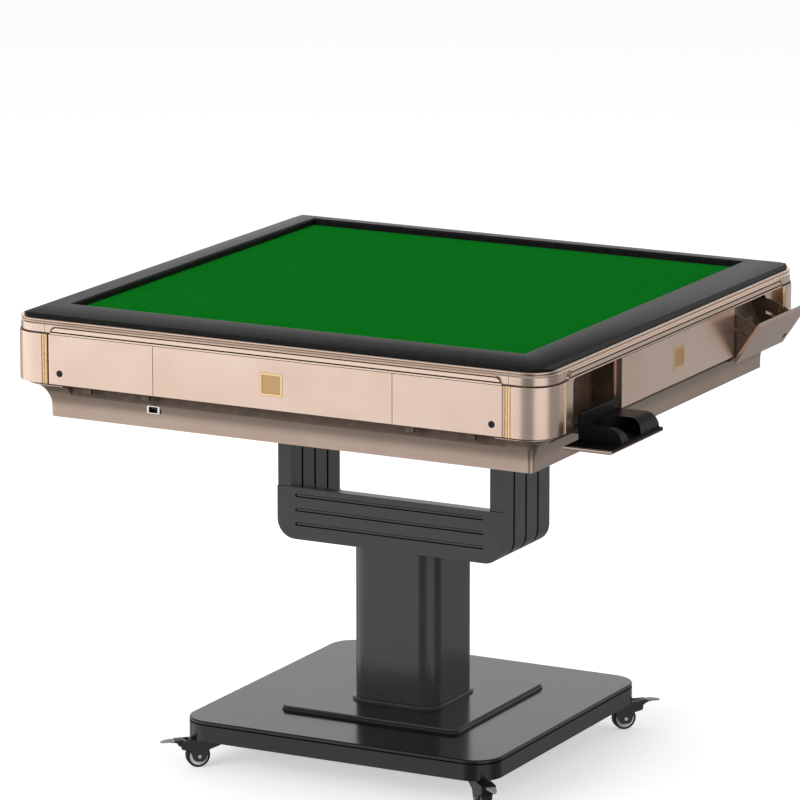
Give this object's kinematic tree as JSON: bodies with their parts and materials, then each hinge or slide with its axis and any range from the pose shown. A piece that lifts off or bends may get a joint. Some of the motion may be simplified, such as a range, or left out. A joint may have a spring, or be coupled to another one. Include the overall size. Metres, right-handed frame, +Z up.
{
  "type": "mahjong table with drawers",
  "caption": "Square folding mahjong table: felt top with drawers and cup holders at each side, tilting on a fork and column over a castered base.",
  "frame": {"origin": "on the floor under the middle of the table", "axes": "+Z up, -Y towards the front player, +X towards the right-hand player"},
  "size_m": [1.044, 0.9708, 0.799],
  "materials": {
    "satin_black_steel": "satin powder coat",
    "plain_steel": "zinc plated",
    "frame_steel": "black paint",
    "black_rubber": "moulded",
    "cast_lever": "black enamel",
    "green_felt": "pressed felt",
    "fibreboard": "raw board",
    "black_rim": "fine grain",
    "champagne_paint": "champagne sprayed over moulded plastic",
    "polished_lip": "bright anodised extrusion",
    "black_base_plastic": "satin moulded",
    "bright_gold": "gold anodised",
    "brown_plastic": "satin moulded",
    "black_plastic": "moulded",
    "port_metal": "plated",
    "caster_tyre": "moulded rubber",
    "white_hub": "moulded nylon"
  },
  "bodies": {
    "base": {"base_cover": "black_base_plastic", "base_weight": "plain_steel", "base_fixings": "plain_steel", "foot_flange": "satin_black_steel", "column": "satin_black_steel", "fork_crossbar": "satin_black_steel", "fork_arm_left": "satin_black_steel", "fork_arm_right": "satin_black_steel", "tilt_shaft": "plain_steel", "rest_pads": "black_rubber"},
    "clamp": {"clamp_lever": "cast_lever"},
    "top": {"playing_board": "fibreboard", "playing_felt": "green_felt", "top_rim": "black_rim", "lip_rails": "polished_lip", "corner_posts": "champagne_paint", "corner_strips": "bright_gold", "centre_panels": "champagne_paint", "badges": "bright_gold", "apron_front": "brown_plastic", "apron_right": "brown_plastic", "apron_rear": "brown_plastic", "apron_left": "brown_plastic", "lower_pan": "champagne_paint", "usb_port": "port_metal", "tilt_brackets": "frame_steel", "chassis": "frame_steel", "pan_screws": "plain_steel"},
    "cup_front": {"cup_panel_front": "champagne_paint", "cup_tray_front": "black_plastic"},
    "chip_front": {"chip_panel_front": "champagne_paint", "chip_bin_front": "brown_plastic"},
    "cup_right": {"cup_panel_right": "champagne_paint", "cup_tray_right": "black_plastic"},
    "chip_right": {"chip_panel_right": "champagne_paint", "chip_bin_right": "brown_plastic"},
    "cup_rear": {"cup_panel_rear": "champagne_paint", "cup_tray_rear": "black_plastic"},
    "chip_rear": {"chip_panel_rear": "champagne_paint", "chip_bin_rear": "brown_plastic"},
    "cup_left": {"cup_panel_left": "champagne_paint", "cup_tray_left": "black_plastic"},
    "chip_left": {"chip_panel_left": "champagne_paint", "chip_bin_left": "brown_plastic"},
    "caster_front_left": {"caster_housing_front_left": "black_plastic"},
    "wheel_front_left": {"caster_tyre_front_left": "caster_tyre", "caster_hub_front_left": "white_hub"},
    "brake_front_left": {"brake_pedal_front_left": "black_plastic"},
    "caster_front_right": {"caster_housing_front_right": "black_plastic"},
    "wheel_front_right": {"caster_tyre_front_right": "caster_tyre", "caster_hub_front_right": "white_hub"},
    "brake_front_right": {"brake_pedal_front_right": "black_plastic"},
    "caster_rear_right": {"caster_housing_rear_right": "black_plastic"},
    "wheel_rear_right": {"caster_tyre_rear_right": "caster_tyre", "caster_hub_rear_right": "white_hub"},
    "brake_rear_right": {"brake_pedal_rear_right": "black_plastic"},
    "caster_rear_left": {"caster_housing_rear_left": "black_plastic"},
    "wheel_rear_left": {"caster_tyre_rear_left": "caster_tyre", "caster_hub_rear_left": "white_hub"},
    "brake_rear_left": {"brake_pedal_rear_left": "black_plastic"}
  },
  "joints": [
    {"name": "top_tilt", "type": "hinge", "parent": "base", "child": "top", "pos_m": [0, 0.075, 0.6], "axis": [-1, 0, 0], "range_deg": [0, 90]},
    {"name": "clamp_turn", "type": "hinge", "parent": "base", "child": "clamp", "pos_m": [0.14, 0.075, 0.6], "axis": [1, 0, 0], "range_deg": [-25, 25]},
    {"name": "cup_fold_front", "type": "hinge", "parent": "top", "child": "cup_front", "pos_m": [0, -0.467, 0.67], "axis": [1, 0, 0], "range_deg": [0, 90]},
    {"name": "chip_fold_front", "type": "hinge", "parent": "top", "child": "chip_front", "pos_m": [0, -0.467, 0.67], "axis": [1, 0, 0], "range_deg": [0, 34]},
    {"name": "cup_fold_right", "type": "hinge", "parent": "top", "child": "cup_right", "pos_m": [0.467, 0, 0.67], "axis": [0, 1, 0], "range_deg": [-90, 0]},
    {"name": "chip_fold_right", "type": "hinge", "parent": "top", "child": "chip_right", "pos_m": [0.467, 0, 0.67], "axis": [0, 1, 0], "range_deg": [-34, 0]},
    {"name": "cup_fold_rear", "type": "hinge", "parent": "top", "child": "cup_rear", "pos_m": [0, 0.467, 0.67], "axis": [-1, 0, 0], "range_deg": [0, 90]},
    {"name": "chip_fold_rear", "type": "hinge", "parent": "top", "child": "chip_rear", "pos_m": [0, 0.467, 0.67], "axis": [-1, 0, 0], "range_deg": [0, 34]},
    {"name": "cup_fold_left", "type": "hinge", "parent": "top", "child": "cup_left", "pos_m": [-0.467, 0, 0.67], "axis": [0, -1, 0], "range_deg": [0, 90]},
    {"name": "chip_fold_left", "type": "hinge", "parent": "top", "child": "chip_left", "pos_m": [-0.467, 0, 0.67], "axis": [0, -1, 0], "range_deg": [0, 34]},
    {"name": "swivel_front_left", "type": "hinge", "parent": "base", "child": "caster_front_left", "pos_m": [-0.25, -0.25, 0.04], "axis": [0, 0, 1], "continuous": true},
    {"name": "roll_front_left", "type": "hinge", "parent": "caster_front_left", "child": "wheel_front_left", "pos_m": [-0.26556, -0.26556, 0.02], "axis": [0.7071, -0.7071, 0], "continuous": true},
    {"name": "brake_front_left_press", "type": "hinge", "parent": "caster_front_left", "child": "brake_front_left", "pos_m": [-0.28253, -0.28253, 0.04], "axis": [0.7071, -0.7071, 0], "range_deg": [0, 12]},
    {"name": "swivel_front_right", "type": "hinge", "parent": "base", "child": "caster_front_right", "pos_m": [0.25, -0.25, 0.04], "axis": [0, 0, 1], "continuous": true},
    {"name": "roll_front_right", "type": "hinge", "parent": "caster_front_right", "child": "wheel_front_right", "pos_m": [0.26556, -0.26556, 0.02], "axis": [0.7071, 0.7071, 0], "continuous": true},
    {"name": "brake_front_right_press", "type": "hinge", "parent": "caster_front_right", "child": "brake_front_right", "pos_m": [0.28253, -0.28253, 0.04], "axis": [0.7071, 0.7071, 0], "range_deg": [0, 12]},
    {"name": "swivel_rear_right", "type": "hinge", "parent": "base", "child": "caster_rear_right", "pos_m": [0.25, 0.25, 0.04], "axis": [0, 0, 1], "continuous": true},
    {"name": "roll_rear_right", "type": "hinge", "parent": "caster_rear_right", "child": "wheel_rear_right", "pos_m": [0.26556, 0.26556, 0.02], "axis": [-0.7071, 0.7071, 0], "continuous": true},
    {"name": "brake_rear_right_press", "type": "hinge", "parent": "caster_rear_right", "child": "brake_rear_right", "pos_m": [0.28253, 0.28253, 0.04], "axis": [-0.7071, 0.7071, 0], "range_deg": [0, 12]},
    {"name": "swivel_rear_left", "type": "hinge", "parent": "base", "child": "caster_rear_left", "pos_m": [-0.25, 0.25, 0.04], "axis": [0, 0, 1], "continuous": true},
    {"name": "roll_rear_left", "type": "hinge", "parent": "caster_rear_left", "child": "wheel_rear_left", "pos_m": [-0.26556, 0.26556, 0.02], "axis": [-0.7071, -0.7071, 0], "continuous": true},
    {"name": "brake_rear_left_press", "type": "hinge", "parent": "caster_rear_left", "child": "brake_rear_left", "pos_m": [-0.28253, 0.28253, 0.04], "axis": [-0.7071, -0.7071, 0], "range_deg": [0, 12]}
  ]
}
